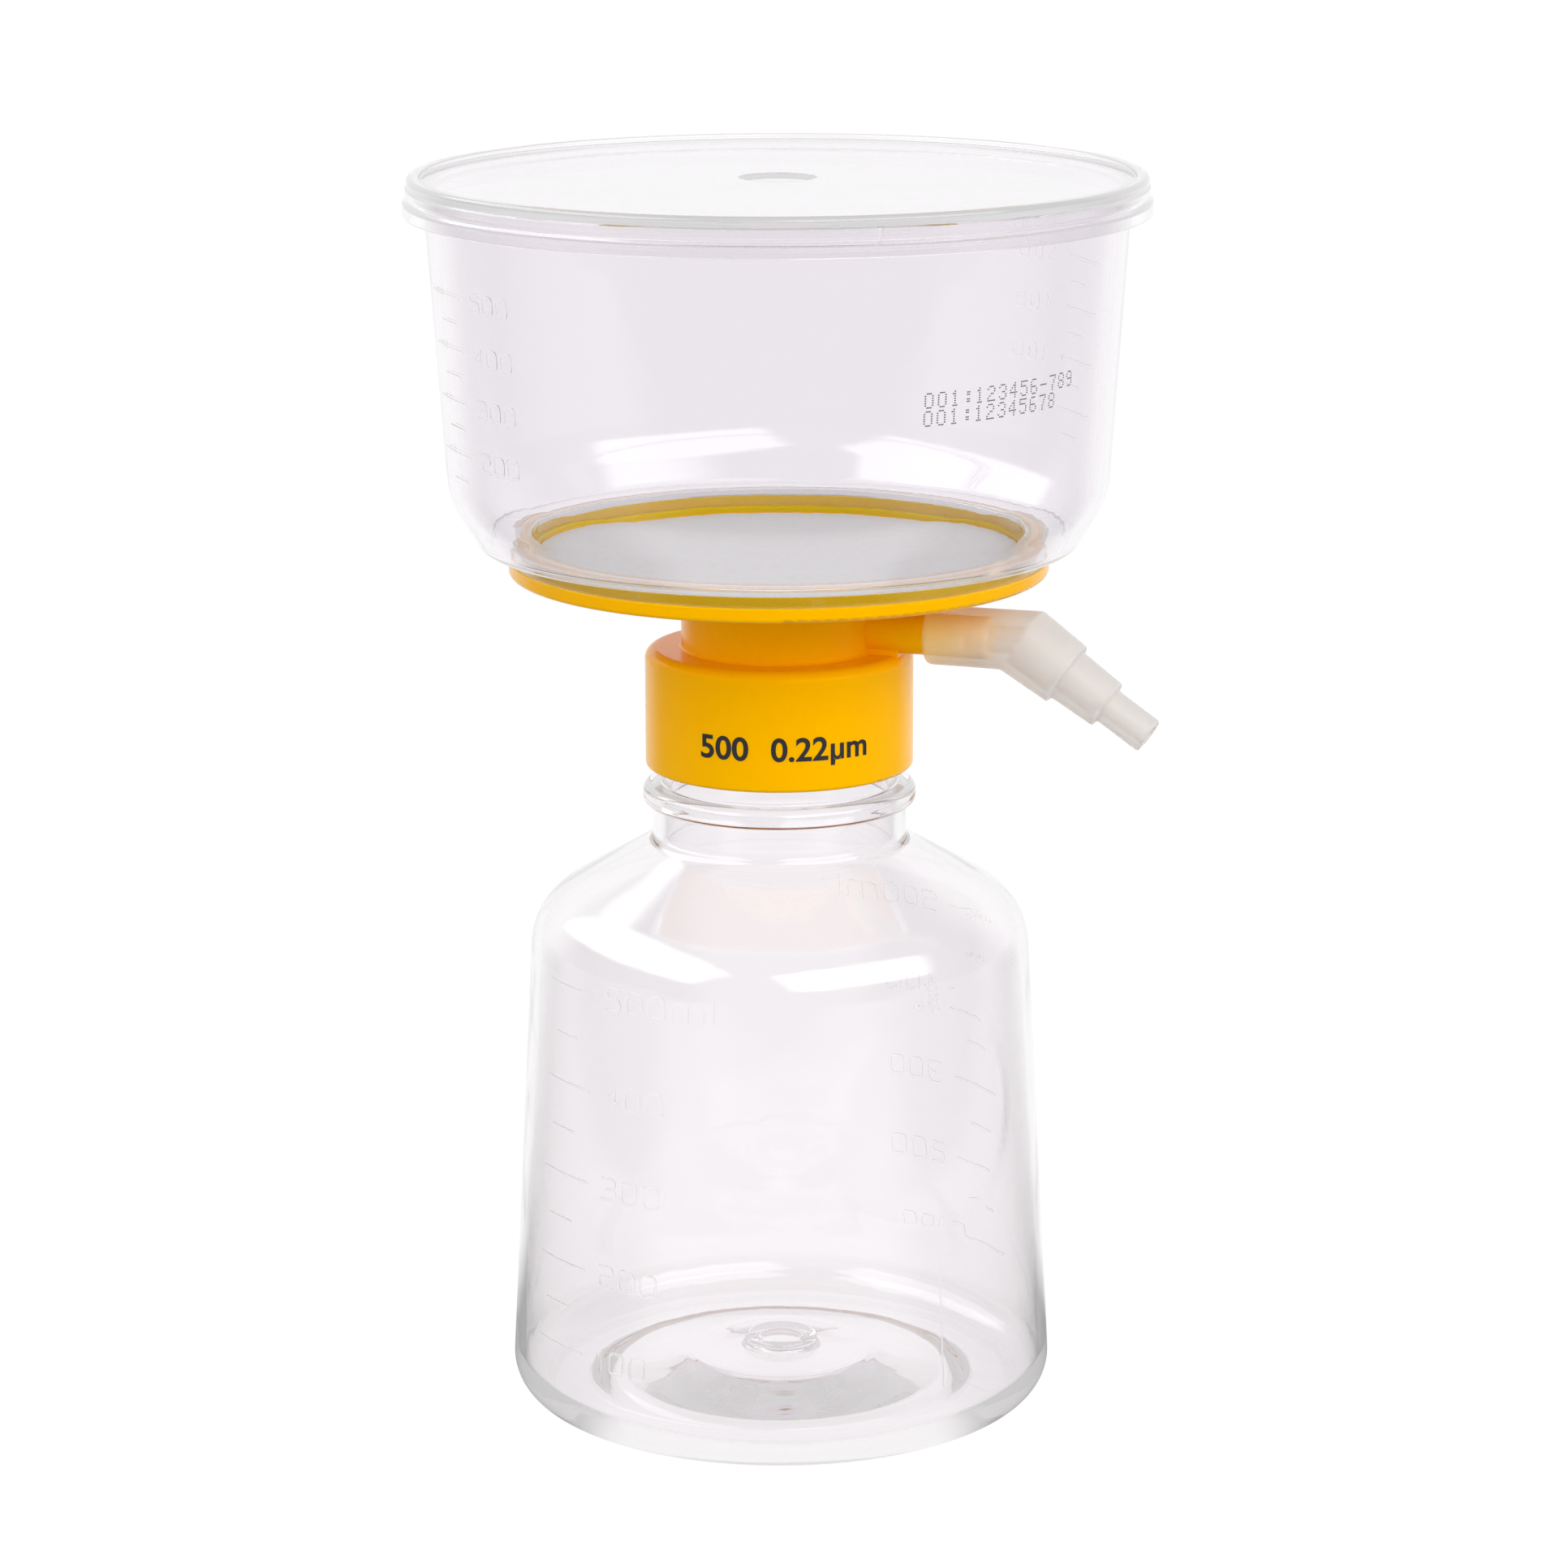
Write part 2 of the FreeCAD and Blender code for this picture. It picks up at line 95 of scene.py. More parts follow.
def newGroup(name, inputs, outputs):
    group = bpy.data.node_groups.new(name, "ShaderNodeTree")
    for socket, kind, value in inputs:
        made = group.interface.new_socket(socket, in_out="INPUT", socket_type="NodeSocket" + kind)
        made.default_value = value
    for socket, kind in outputs:
        group.interface.new_socket(socket, in_out="OUTPUT", socket_type="NodeSocket" + kind)
    given = group.nodes.new("NodeGroupInput").outputs
    made = group.nodes.new("NodeGroupOutput").inputs
    return group, given, made


def rayKinds(tree):
    # rays of the camera, of mirrors and clear plastic, and those turned back once and often
    rays = tree.nodes.new("ShaderNodeLightPath").outputs
    polished = calc(tree, "MAXIMUM", rays["Is Glossy Ray"], rays["Is Transmission Ray"])
    once = calc(tree, "GREATER_THAN", rays["Glossy Depth"], 0.5)
    often = calc(tree, "GREATER_THAN", rays["Glossy Depth"], 1.5)
    return rays["Is Camera Ray"], polished, once, often


# ---- camera, floor and light
camera = {
    "lens": 112.7,
    "back": 843.9,  # from the bottle's axis
    "side": 0.8,
    "height": 315.7,
    "pitch": 13.6,  # degrees below level
    "roll": -0.16,
}


def addCamera():
    data = bpy.data.cameras.new("camera")
    data.lens = camera["lens"]
    data.clip_end = 50
    eye = bpy.data.objects.new("camera", data)
    bpy.context.scene.collection.objects.link(eye)
    tilt = Matrix.Rotation(math.radians(90 - camera["pitch"]), 4, "X")
    roll = Matrix.Rotation(math.radians(camera["roll"]), 4, "Z")
    place = Vector((camera["side"], -camera["back"], camera["height"])) * mm
    eye.matrix_world = Matrix.Translation(place) @ tilt @ roll
    bpy.context.scene.camera = eye


studio = {
    "sideLight": 1.6,  # what matt surfaces receive from level directions
    "topLight": 0.3,
    "frontShine": 0.12,  # the dim room in front, as polished surfaces mirror it
    "backShine": 1.0,
    "backEdge": (0.3, 0.75),  # where the room turns bright, as a share of straight back
    "ceilingShine": 0.15,
    "ceilingEdge": (0.45, 0.8),  # as a share of straight up
    "rimShine": 0.72,  # for light that turns several times inside a rim
    "overhead": 0.6,  # the ceiling seen straight through clear plastic
    "overheadEdge": (0.5, 0.95),
    "boxEdge": (1.18, 0.8),  # soft border of a light panel, in its half widths
    "floorSize": 16.0,
    "floorGlow": 0.9,
    "floorLight": 0.36,  # share of the glow that matt surfaces receive
    "floorColour": 0.12,
    "floorFront": (-0.56, -0.21),  # where the bright floor begins in front, in metres
    "floorSide": 0.25,  # brightness to the left and right
    "floorSideEdge": (0.45, 0.8),
    "floorShadowBelow": 0.93,  # painted shadow: the floor glows dimmer under the bottle
    "floorShadowBelowEdge": (0.03, 0.12),
}
softBoxes = [
    # degrees round from +X and above level, half width and height as tangents,
    # brightness in polished surfaces and for matt ones
    {"turn": -178, "rise": 43, "wide": 0.95, "high": 0.32, "shine": 2.5, "light": 0.4},
    {"turn": -50, "rise": 33, "wide": 0.66, "high": 0.30, "shine": 2.5, "light": 2.3},
]


def panelGroup():
    # mask of a flat panel that stands off in one direction
    sizes = [(name, "Float", 1.0) for name in ("Turn", "Rise", "Wide", "High")]
    group, given, made = newGroup(
        "panel", [("Direction", "Vector", (0, 0, 0))] + sizes, [("Mask", "Float")]
    )
    turned = addNode(
        group,
        "ShaderNodeVectorRotate",
        {"rotation_type": "Z_AXIS"},
        {"Vector": given["Direction"], "Angle": calc(group, "MULTIPLY", given["Turn"], -1.0)},
    )
    raised = addNode(
        group,
        "ShaderNodeVectorRotate",
        {"rotation_type": "Y_AXIS"},
        {"Vector": turned.outputs[0], "Angle": given["Rise"]},
    )
    split = addNode(group, "ShaderNodeSeparateXYZ", None, {0: raised.outputs[0]}).outputs
    mask = calc(group, "GREATER_THAN", split["X"], 0.0)
    for axis, size in (("Y", "Wide"), ("Z", "High")):
        away = calc(group, "ABSOLUTE", calc(group, "DIVIDE", split[axis], split["X"]))
        inside = fade(group, calc(group, "DIVIDE", away, given[size]), *studio["boxEdge"])
        mask = calc(group, "MULTIPLY", mask, inside)
    group.links.new(mask, made["Mask"])
    return group


def addWorld():
    world = bpy.data.worlds.new("studio")
    world.use_nodes = True
    tree = world.node_tree
    direction = tree.nodes.new("ShaderNodeTexCoord").outputs["Generated"]
    split = addNode(tree, "ShaderNodeSeparateXYZ", None, {0: direction}).outputs
    direct, polished, once, often = rayKinds(tree)
    group = panelGroup()
    room = fade(tree, split["Y"], *studio["backEdge"], studio["frontShine"], studio["backShine"])
    upwards = fade(tree, split["Z"], *studio["ceilingEdge"])
    mirrored = choose(tree, upwards, room, studio["ceilingShine"])
    soft = fade(tree, split["Z"], 0.0, 1.0, studio["sideLight"], studio["topLight"])
    for box in softBoxes:
        values = {
            "Direction": direction,
            "Turn": math.radians(box["turn"]),
            "Rise": math.radians(box["rise"]),
            "Wide": box["wide"],
            "High": box["high"],
        }
        mask = addNode(tree, "ShaderNodeGroup", {"node_tree": group}, values).outputs["Mask"]
        mirrored = calc(tree, "ADD", mirrored, calc(tree, "MULTIPLY", mask, box["shine"]))
        soft = calc(tree, "ADD", soft, calc(tree, "MULTIPLY", mask, box["light"]))
    through = fade(tree, split["Z"], *studio["overheadEdge"], 1.0, studio["overhead"])
    seen = choose(tree, once, through, choose(tree, often, mirrored, studio["rimShine"]))
    strength = choose(tree, direct, choose(tree, polished, soft, seen), 1.0)
    background = tree.nodes["Background"].inputs
    background["Color"].default_value = (1, 1, 1, 1)
    tree.links.new(strength, background["Strength"])
    bpy.context.scene.world = world


def addFloor():
    bpy.ops.object.select_all(action="DESELECT")
    size = studio["floorSize"]
    bpy.ops.mesh.primitive_plane_add(size=size, location=(0, size / 4, 0))
    floor = bpy.context.object
    floor.name = "floor"
    bpy.ops.object.transform_apply(location=True)
    material, shader = newFinish(
        "floorPaper",
        (studio["floorColour"],) * 3,
        {"Roughness": 0.9, "Specular IOR Level": 0.0, "Emission Color": (1, 1, 1, 1)},
    )
    tree = material.node_tree
    place = tree.nodes.new("ShaderNodeTexCoord").outputs["Object"]
    split = addNode(tree, "ShaderNodeSeparateXYZ", None, {0: place}).outputs
    direct, polished, once, often = rayKinds(tree)
    length = addNode(tree, "ShaderNodeVectorMath", {"operation": "LENGTH"}, {0: place})
    away = length.outputs["Value"]
    # painted shadow: mirrors and clear plastic see the floor's glow dimmer under the bottle
    below = fade(tree, away, *studio["floorShadowBelowEdge"], studio["floorShadowBelow"], 1.0)
    front = fade(tree, split["Y"], *studio["floorFront"])
    lengthwise = calc(tree, "ABSOLUTE", calc(tree, "DIVIDE", split["Y"], away))
    lengthwise = fade(tree, lengthwise, *studio["floorSideEdge"])
    around = choose(tree, lengthwise, studio["floorSide"], front)
    mirrored = choose(tree, often, around, studio["rimShine"])
    seen = calc(tree, "MULTIPLY", choose(tree, once, 1.0, mirrored), below)
    indirect = choose(tree, polished, studio["floorLight"], seen)
    share = choose(tree, direct, indirect, 1.0)
    glow = calc(tree, "MULTIPLY", share, studio["floorGlow"])
    tree.links.new(glow, shader.inputs["Emission Strength"])
    floor.data.materials.append(material)


def newFinish(name, colour, sockets):
    # a Principled material; sockets are constants set on the shader itself
    material = bpy.data.materials.new(name)
    material.use_nodes = True
    shader = material.node_tree.nodes["Principled BSDF"]
    shader.inputs["Base Color"].default_value = (*colour, 1)
    for socket, value in sockets.items():
        shader.inputs[socket].default_value = value
    return material, shader


addCamera()
addWorld()
addFloor()
scene = bpy.context.scene
scene.view_settings.view_transform = "Standard"
scene.cycles.max_bounces = 20  # light travels far inside the rims
scene.cycles.transmission_bounces = 20
scene.cycles.glossy_bounces = 20
scene.cycles.transparent_max_bounces = 32
scene.cycles.caustics_reflective = False
scene.cycles.caustics_refractive = False
print("camera, floor and light set")


# ---- effects that several finishes share
def wavesGroup():
    # slow waves, fine ripples and upright flow lines that a mould leaves in a polished wall
    group, given, made = newGroup(
        "mouldWaves",
        [
            ("Wave Scale", "Float", 60.0),
            ("Wave Height", "Float", 0.0001),
            ("Ripple Scale", "Float", 400.0),
            ("Ripple Height", "Float", 0.000002),
            ("Flow Scale", "Float", 9.0),
            ("Flow Height", "Float", 0.0),
        ],
        [("Normal", "Vector")],
    )
    place = group.nodes.new("ShaderNodeTexCoord").outputs["Object"]
    flatten = {0: place, 1: (1, 1, 0)}
    level = addNode(group, "ShaderNodeVectorMath", {"operation": "MULTIPLY"}, flatten)
    level = {0: level.outputs[0]}
    around = addNode(group, "ShaderNodeVectorMath", {"operation": "NORMALIZE"}, level)
    normal = None
    for name, vector in (("Wave", place), ("Ripple", place), ("Flow", around.outputs[0])):
        inputs = {"Vector": vector, "Scale": given[name + " Scale"]}
        noise = addNode(group, "ShaderNodeTexNoise", None, inputs)
        height = given[name + " Height"]
        inputs = {"Height": noise.outputs["Fac"], "Distance": height, "Strength": 1.0}
        if normal:
            inputs["Normal"] = normal
        normal = addNode(group, "ShaderNodeBump", None, inputs).outputs["Normal"]
    group.links.new(normal, made["Normal"])
    return group


def mottleGroup():
    # a colour that drifts towards a second one in patches, and to a third along a line; that fade
    # paints shade on the yellow base and a glow on the milky adapter
    group, given, made = newGroup(
        "mottleAndPaintedLight",
        [
            ("Colour", "Color", (1, 1, 1, 1)),
            ("Second Colour", "Color", (1, 1, 1, 1)),
            ("Scale", "Float", 50.0),
            ("Amount", "Float", 0.5),
            ("End Colour", "Color", (1, 1, 1, 1)),
            ("Line", "Vector", (0, 0, 1)),
            ("Start", "Float", 1.0),
            ("End", "Float", 2.0),
        ],
        [("Colour", "Color")],
    )
    place = group.nodes.new("ShaderNodeTexCoord").outputs["Object"]
    inputs = {"Vector": place, "Scale": given["Scale"], "Detail": 4.0}
    noise = addNode(group, "ShaderNodeTexNoise", None, inputs).outputs["Fac"]
    patches = calc(group, "MULTIPLY", fade(group, noise, 0.35, 0.65), given["Amount"])
    colour = {"Factor": patches, "A": given["Colour"], "B": given["Second Colour"]}
    patched = addNode(group, "ShaderNodeMix", {"data_type": "RGBA"}, colour).outputs["Result"]
    inputs = {0: place, 1: given["Line"]}
    along = addNode(group, "ShaderNodeVectorMath", {"operation": "DOT_PRODUCT"}, inputs)
    share = fade(group, along.outputs["Value"], given["Start"], given["End"])
    colour = {"Factor": share, "A": patched, "B": given["End Colour"]}
    blended = addNode(group, "ShaderNodeMix", {"data_type": "RGBA"}, colour).outputs["Result"]
    group.links.new(blended, made["Colour"])
    return group


mouldWaves = wavesGroup()
mottleAndPaintedLight = mottleGroup()


def clearPlastic(name, look):
    # polished clear polystyrene; soft light passes straight through its thin walls
    sockets = {"Transmission Weight": 1.0, "IOR": look["ior"], "Roughness": look["roughness"]}
    material, shader = newFinish(name, look["colour"], sockets)
    tree = material.node_tree
    waves = addNode(tree, "ShaderNodeGroup", {"node_tree": mouldWaves}, look["waves"])
    tree.links.new(waves.outputs["Normal"], shader.inputs["Normal"])
    shade = addNode(tree, "ShaderNodeBsdfTransparent", None, {"Color": (*look["shade"], 1)})
    rays = tree.nodes.new("ShaderNodeLightPath").outputs
    soft = calc(tree, "MAXIMUM", rays["Is Shadow Ray"], rays["Is Diffuse Ray"])
    caught = calc(tree, "GREATER_THAN", rays["Ray Depth"], look["turns"])
    straight = calc(tree, "MAXIMUM", soft, caught)
    inputs = {0: straight, 1: shader.outputs["BSDF"], 2: shade.outputs["BSDF"]}
    mixer = addNode(tree, "ShaderNodeMixShader")
    for socket, value in inputs.items():
        tree.links.new(value, mixer.inputs[socket])
    tree.links.new(mixer.outputs["Shader"], tree.nodes["Material Output"].inputs["Surface"])
    return material


def plainFinish(name, look):
    # opaque or milky plastic, film, rubber, fibre and ink
    material, shader = newFinish(name, look["colour"], look["sockets"])
    tree = material.node_tree
    values = {
        "Colour": (*look["colour"], 1),
        "Second Colour": (*look["second"], 1),
        "Scale": look["scale"],
        "Amount": look["amount"],
    }
    # the fade along a line paints shade or glow into the colour
    if "along" in look:
        line, start, end, colour = look["along"]
        values |= {"Line": line, "Start": start * mm, "End": end * mm, "End Colour": (*colour, 1)}
    drift = addNode(tree, "ShaderNodeGroup", {"node_tree": mottleAndPaintedLight}, values)
    tree.links.new(drift.outputs["Colour"], shader.inputs["Base Color"])
    waves = addNode(tree, "ShaderNodeGroup", {"node_tree": mouldWaves}, look["waves"])
    tree.links.new(waves.outputs["Normal"], shader.inputs["Normal"])
    return material


clear = {
    "bottle": {
        "colour": (0.985, 0.966, 0.98),
        "ior": 1.58,
        "roughness": 0.0,
        "shade": (0.96, 0.96, 0.96),  # what soft light keeps at each face
        "turns": 14,  # light caught in a rim comes out after this many
        "waves": {"Wave Scale": 45.0, "Wave Height": 0.0002},
    },
    "funnel": {
        "colour": (0.985, 0.962, 0.987),
        "ior": 1.58,
        "roughness": 0.0,
        "shade": (0.96, 0.96, 0.96),
        "turns": 14,
        "waves": {"Wave Scale": 25.0, "Wave Height": 0.0001, "Flow Height": 0.00003},
    },
    "lid": {
        "colour": (0.99, 0.975, 0.99),
        "ior": 1.58,
        "roughness": 0.0,
        "shade": (0.96, 0.96, 0.96),
        "turns": 14,
        "waves": {"Wave Scale": 25.0, "Wave Height": 0.00003},
    },
}
bottlePlastic = clearPlastic("bottlePlastic", clear["bottle"])
funnelPlastic = clearPlastic("funnelPlastic", clear["funnel"])
lidPlastic = clearPlastic("lidPlastic", clear["lid"])

baseFoot, baseTop = heights("filter_base")
nozzleLine = (0.9455, -0.3256, 0)  # the nozzle's direction
adapterTop = heights("hose_adapter")[1]
adapterStart = 28.0  # from the axis
outwards, downwards = 0.8, 0.6  # how the adapter's painted glow of the nozzle fades
adapterLine = (outwards * nozzleLine[0], outwards * nozzleLine[1], -downwards)
adapterRoot = outwards * adapterStart - downwards * adapterTop
plain = {
    "yellow": {
        "colour": (1.0, 0.475, 0.0),
        "second": (0.97, 0.455, 0.0),
        "scale": 70.0,
        "amount": 0.5,
        "sockets": {
            "Roughness": 0.22,
            "IOR": 1.5,
            "Specular IOR Level": 0.3,
            "Specular Tint": (1.0, 0.7, 0.0, 1),
            "Subsurface Weight": 0.3,
            "Subsurface Radius": (1.0, 0.45, 0.02),
            "Subsurface Scale": 0.004,
        },
        "waves": {"Wave Height": 0.00005},
        # painted shade: the base's top 3 mm fades to a darker, greener yellow
        "along": ((0, 0, 1), baseTop - 3.0, baseTop - 2.7, (0.60, 0.40, 0.0)),  # painted shade on a thin upper band, under the funnel's skirt
    },
    # painted glow: orange near the nozzle's root stands for the yellow nozzle seen through the
    # milky wall, fading to the plastic's own grey-white
    "milkyWithPaintedGlow": {
        "colour": (1.0, 0.72, 0.12),
        "second": (1.0, 0.80, 0.28),
        "scale": 120.0,
        "amount": 0.6,
        "sockets": {
            "Roughness": 0.36,
            "IOR": 1.5,
            "Alpha": 0.62,
            "Subsurface Weight": 0.6,
            "Subsurface Radius": (1.0, 0.8, 0.6),
            "Subsurface Scale": 0.005,
        },
        "waves": {"Wave Height": 0.0001},
        "along": (adapterLine, adapterRoot - 5, adapterRoot + 18, (0.66, 0.635, 0.62)),
    },
    "film": {
        "colour": (0.74, 0.73, 0.735),
        "second": (0.68, 0.665, 0.67),
        "scale": 900.0,
        "amount": 0.5,
        "sockets": {"Roughness": 0.85, "IOR": 1.4},
        "waves": {},
    },
    "rubber": {
        "colour": (0.76, 0.75, 0.71),
        "second": (0.70, 0.68, 0.64),
        "scale": 300.0,
        "amount": 0.6,
        "sockets": {"Roughness": 0.6, "IOR": 1.42},
        "waves": {},
    },
    "fibre": {
        "colour": (0.88, 0.86, 0.82),
        "second": (0.62, 0.60, 0.56),
        "scale": 1500.0,
        "amount": 0.9,
        "sockets": {"Roughness": 0.95, "IOR": 1.4},
        "waves": {"Ripple Scale": 3000.0, "Ripple Height": 0.0001},
    },
    "blackInk": {
        "colour": (0.012, 0.012, 0.016),
        "second": (0.02, 0.02, 0.024),
        "scale": 2500.0,
        "amount": 0.6,
        "sockets": {"Roughness": 0.4, "IOR": 1.5},
        "waves": {},
    },
    "greyInk": {
        "colour": (0.13, 0.11, 0.14),
        "second": (0.2, 0.17, 0.21),
        "scale": 2500.0,
        "amount": 0.8,
        "sockets": {"Roughness": 0.5, "IOR": 1.5},
        "waves": {},
    },
}
finishes = {name: plainFinish(name, look) for name, look in plain.items()}
print("finishes made")


# ---- tools for modelling
def roundPath(corners, closed=True, arcStep=9):
    # each (x, z, rounding) corner becomes points on its arc
    path = []
    for i, (x, z, rounding) in enumerate(corners):
        here = Vector((x, z))
        if not rounding or (not closed and i in (0, len(corners) - 1)):
            path.append(here)
            continue
        before = Vector(corners[i - 1][:2]) - here
        after = Vector(corners[(i + 1) % len(corners)][:2]) - here
        half = before.angle(after) / 2
        reach = min(rounding / math.tan(half), 0.49 * min(before.length, after.length))
        arcR = reach * math.tan(half)
        start, end = before.normalized() * reach, after.normalized() * reach
        centre = (before.normalized() + after.normalized()).normalized() * (arcR / math.sin(half))
        turn = math.pi - 2 * half
        finer = min(1, math.sqrt(arcR / 6))  # small arcs need fewer steps
        steps = max(2, math.ceil(math.degrees(turn) / arcStep * finer))
        side = 1 if (start - centre).cross(end - centre) > 0 else -1
        for step in range(steps + 1):
            spoke = (start - centre).copy()
            spoke.rotate(Matrix.Rotation(side * turn * step / steps, 2))
            path.append(here + centre + spoke)
    return path


def splitRuns(path, longest, finest=None, hold=0.25):
    # adds points on long runs of a closed outline, with one close to each end to hold its
    # shading; the longest run of all can have finer steps
    split = []
    outline = list(zip(path, path[1:] + path[:1]))
    wall = max((following - here).length for here, following in outline)
    for here, following in outline:
        length = (following - here).length
        split.append(here)
        if length < 3 * hold:
            continue
        step = finest if finest and length == wall else longest
        pieces = max(1, math.ceil(length / step))
        stops = [hold] + [length * step / pieces for step in range(1, pieces)] + [length - hold]
        split += [here.lerp(following, stop / length) for stop in stops]
    return split


def drawPath(points):
    # a plane merged to one vertex, then extruded from point to point
    bpy.ops.object.select_all(action="DESELECT")
    bpy.ops.mesh.primitive_plane_add(size=mm, location=points[0])
    bpy.ops.object.mode_set(mode="EDIT")
    bpy.ops.mesh.merge(type="CENTER")
    for here, following in zip(points, points[1:]):
        bpy.ops.mesh.extrude_region_move(TRANSFORM_OT_translate={"value": following - here})


def finishMesh(name, smoothAngle=35):
    bpy.ops.mesh.select_all(action="SELECT")
    bpy.ops.mesh.remove_doubles(threshold=1e-6)
    bpy.ops.mesh.normals_make_consistent(inside=False)
    bpy.ops.object.mode_set(mode="OBJECT")
    bpy.ops.object.transform_apply(location=True, rotation=True, scale=True)
    piece = bpy.context.object
    piece.name = name
    piece.data.name = name
    bpy.ops.object.shade_smooth_by_angle(angle=math.radians(smoothAngle))
    return piece


def makeActive(piece):
    bpy.ops.object.select_all(action="DESELECT")
    piece.select_set(True)
    bpy.context.view_layer.objects.active = piece


def turnPiece(name, path, steps=240):
    # the outline's half section, spun once round the axis
    points = [Vector((p.x, 0, p.y)) * mm for p in path]
    drawPath(points + points[:1])
    bpy.ops.mesh.select_all(action="SELECT")
    bpy.ops.mesh.spin(steps=steps, angle=math.tau, center=(0, 0, 0), axis=(0, 0, 1))
    return finishMesh(name)


def turnWedge(name, corners, fromAngle, sweep, steps=16):
    # part of a turn, with both ends closed
    turn = Matrix.Rotation(math.radians(fromAngle), 4, "Z")
    points = [turn @ (Vector((x, 0, z)) * mm) for x, z in corners]
    drawPath(points)
    bpy.ops.mesh.select_all(action="SELECT")
    bpy.ops.mesh.edge_face_add()
    bpy.ops.mesh.spin(steps=steps, angle=math.radians(sweep), center=(0, 0, 0), axis=(0, 0, 1))
    return finishMesh(name)


def combine(piece, tool, operation):
    modifier = piece.modifiers.new("combine", "BOOLEAN")
    modifier.solver = "MANIFOLD"
    modifier.operation = operation
    modifier.object = tool
    makeActive(piece)
    bpy.ops.object.modifier_apply(modifier=modifier.name)
    bpy.data.objects.remove(tool)


def smoothAgain(piece, smoothAngle=35):
    # curved faces shade smoothly again after the last boolean
    makeActive(piece)
    bpy.ops.object.shade_smooth_by_angle(angle=math.radians(smoothAngle))


strokeSink = 0.4  # how deep a bead lies in the wall, in its radii


def drawStrokes(name, strokes, radius, flat, wallRadius):
    # round beads along lines on a wall, pressed flat towards it, as one mesh
    data = bpy.data.curves.new(name, "CURVE")
    data.dimensions = "3D"
    data.bevel_depth = radius * mm
    data.bevel_resolution = 5
    data.use_fill_caps = True
    for points, closed in strokes:
        spline = data.splines.new("POLY")
        spline.points.add(len(points) - 1)
        for vertex, place in zip(spline.points, points):
            vertex.co = (*place, 1)
        spline.use_cyclic_u = closed
    beads = bpy.data.objects.new(name, data)
    bpy.context.scene.collection.objects.link(beads)
    makeActive(beads)
    bpy.ops.object.convert(target="MESH")
    beads = bpy.context.object
    for vertex in beads.data.vertices:
        place = vertex.co / mm
        wall = wallRadius(place.z)
        out = Vector((place.x, place.y)).length
        pressed = wall + (out - wall - strokeSink * radius) * flat
        vertex.co.xy = vertex.co.xy * (pressed / out)
    bpy.ops.object.mode_set(mode="EDIT")
    return finishMesh(name)


def raiseStrokes(piece, layers, radius, flat, wallRadius):
    # strokes that cross lie in different layers, which join the wall in turn
    for strokes in layers:
        combine(piece, drawStrokes("strokes", strokes, radius, flat, wallRadius), "UNION")


def dress(piece, material, body, node=None):
    # finish, body, slot and the CAD node that the piece stands for
    piece.data.materials.clear()
    piece.data.materials.append(material)
    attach(piece, body)
    if node:
        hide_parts(node)
    print(piece.name, "made,", len(piece.data.polygons), "faces")


# ---- raised numbers and marks, the figures each in a cell one unit wide and high
figureStrokes = {
    # strokes of the first layer, then of the second
    "0": ([([(0, 0), (1, 0), (1, 1), (0, 1)], True)], []),
    "1": ([([(0, 0.72), (0.35, 1), (0.35, 0)], False)], []),
    "2": ([([(0, 1), (1, 1), (1, 0.52), (0, 0.52), (0, 0), (1, 0)], False)], []),
    "3": (
        [([(0, 1), (1, 1), (1, 0.5), (0.4, 0.5)], False)],
        [([(1, 0.5), (1, 0), (0, 0)], False)],
    ),
    "4": ([([(0.78, 1), (0, 0.28), (1, 0.28)], False)], [([(0.78, 0), (0.78, 1)], False)]),
    "5": ([([(1, 1), (0, 1), (0, 0.56), (1, 0.56), (1, 0), (0, 0)], False)], []),
    "m": (
        [([(0, 0), (0, 0.76), (1.9, 0.76), (1.9, 0)], False)],
        [([(0.95, 0.76), (0.95, 0)], False)],
    ),
    "l": ([([(0.1, 0), (0.1, 1.05)], False)], []),
}
figureSpace = {"m": 0.88, "1": -0.54, "4": 0.05}  # wider or narrower than the other figures
figureRounding = 0.24
markSteps = 12  # points along a mark


def figuresOnWall(layers, text, startAngle, middleZ, look, wallRadius):
    # strokes of a number, laid on a round wall and read from outside
    angle = startAngle
    for figure in text:
        for layer, strokes in zip(layers, figureStrokes[figure]):
            for corners, closed in strokes:
                sharp = 0 if figure in "41" else figureRounding
                path = roundPath([(x, z, sharp) for x, z in corners], closed, arcStep=22)
                points = []
                for p in path:
                    z = middleZ + (p.y - 0.5) * look["figureHeight"]
                    turned = angle + math.degrees(p.x * look["figureWidth"] / wallRadius(z))
                    points.append(point(wallRadius(z), turned, z))
                layer.append((points, closed))
        wide = (look["figurePitch"] + figureSpace.get(figure, 0)) * look["figureWidth"]
        angle += math.degrees(wide / wallRadius(middleZ))


def marksOnWall(levels, look, wallRadius):
    # long marks with numbers and short ones, on two opposite sides
    layers = [], []
    for side in (0, 180):
        for z, text in levels:
            begin, end = look["longMark"] if text else look["shortMark"]
            spots = [begin + (end - begin) * step / markSteps for step in range(markSteps + 1)]
            layers[0].append(([point(wallRadius(z), spot + side, z) for spot in spots], False))
            figuresOnWall(layers, text, look["figureStart"] + side, z, look, wallRadius)
    return layers


